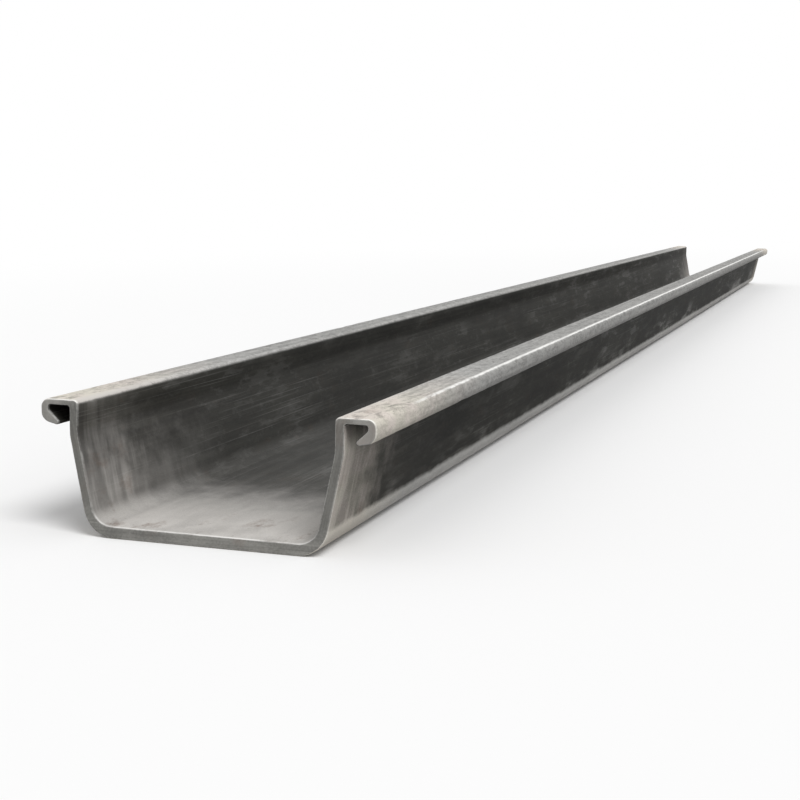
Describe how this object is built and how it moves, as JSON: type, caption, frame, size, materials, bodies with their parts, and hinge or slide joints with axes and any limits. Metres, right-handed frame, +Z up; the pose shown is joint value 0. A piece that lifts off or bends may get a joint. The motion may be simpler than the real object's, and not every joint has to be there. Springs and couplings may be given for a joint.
{
  "type": "steel sheet pile",
  "caption": "Hot-rolled U-section steel sheet pile with a hooked interlock along each edge, for driving into the ground to form a retaining wall.",
  "frame": {"origin": "on the web's outer face, under the middle of the pile", "axes": "+Y along the pile's length, +X across it from interlock to interlock, +Z up out of the trough's open side"},
  "size_m": [0.438, 6, 0.17],
  "materials": {
    "rolled_steel": "dark grey mill scale, dusty and faintly rusted, with lighter cut ends"
  },
  "bodies": {
    "root": {"sheet_pile": "rolled_steel"}
  },
  "joints": []
}
